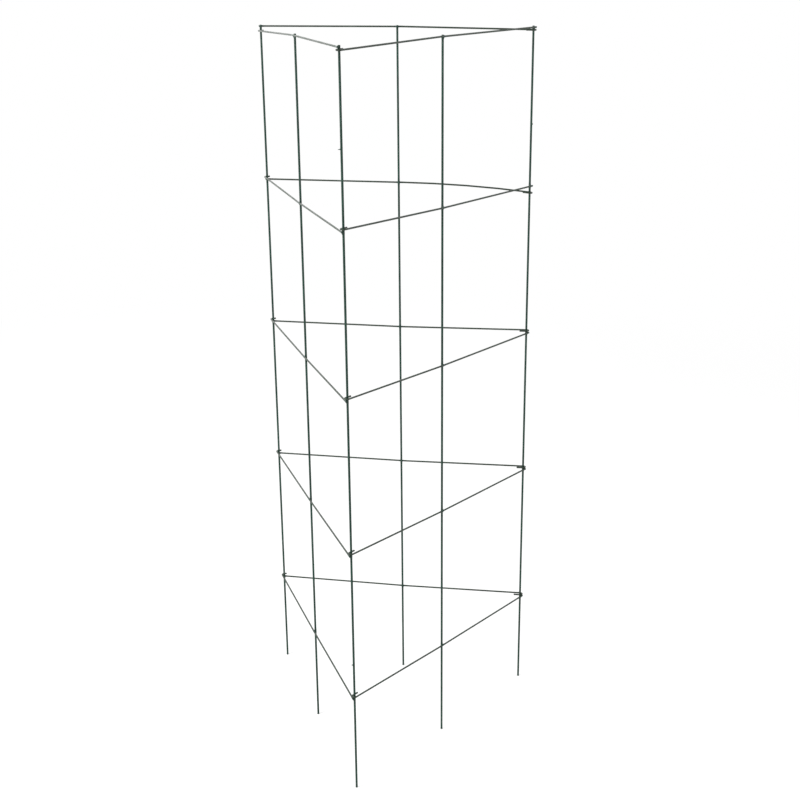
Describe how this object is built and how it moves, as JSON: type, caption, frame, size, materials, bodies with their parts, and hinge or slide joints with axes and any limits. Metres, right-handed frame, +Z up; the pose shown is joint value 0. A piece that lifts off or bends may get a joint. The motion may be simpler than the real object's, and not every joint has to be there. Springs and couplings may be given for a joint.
{
  "type": "tomato cage",
  "caption": "Folding triangular tomato cage of coated wire panels hooked together at their corner posts, with long legs to push into soil.",
  "frame": {"origin": "on the ground, in the middle of the triangle of corner posts", "axes": "+Z up along the posts; +Y towards the back panel, so the front corner post is at -Y; +X to the right"},
  "size_m": [0.4159, 0.3631, 1.0688],
  "materials": {
    "post_coating": "satin",
    "rung_coating": "satin"
  },
  "bodies": {
    "right_panel": {"right_corner_post": "post_coating", "right_mid_post": "post_coating", "right_rung_1": "rung_coating", "right_rung_2": "rung_coating", "right_rung_3": "rung_coating", "right_rung_4": "rung_coating", "right_rung_5": "rung_coating"},
    "left_panel": {"left_corner_post": "post_coating", "left_mid_post": "post_coating", "left_rung_1": "rung_coating", "left_rung_2": "rung_coating", "left_rung_3": "rung_coating", "left_rung_4": "rung_coating", "left_rung_5": "rung_coating"},
    "back_panel": {"back_corner_post": "post_coating", "back_mid_post": "post_coating", "back_rung_1": "rung_coating", "back_rung_2": "rung_coating", "back_rung_3": "rung_coating", "back_rung_4": "rung_coating", "back_rung_5": "rung_coating"}
  },
  "joints": [
    {"name": "left_fold", "type": "hinge", "parent": "right_panel", "child": "left_panel", "pos_m": [0, -0.23464, 0], "axis": [0, 0, 1], "range_deg": [0, 290]},
    {"name": "back_fold", "type": "hinge", "parent": "right_panel", "child": "back_panel", "pos_m": [0.2032, 0.11732, 0], "axis": [0, 0, 1], "range_deg": [0, 58]}
  ],
  "couplings": [
    {"joint": "back_fold", "follows": "left_fold", "ratio": 0.2}
  ]
}
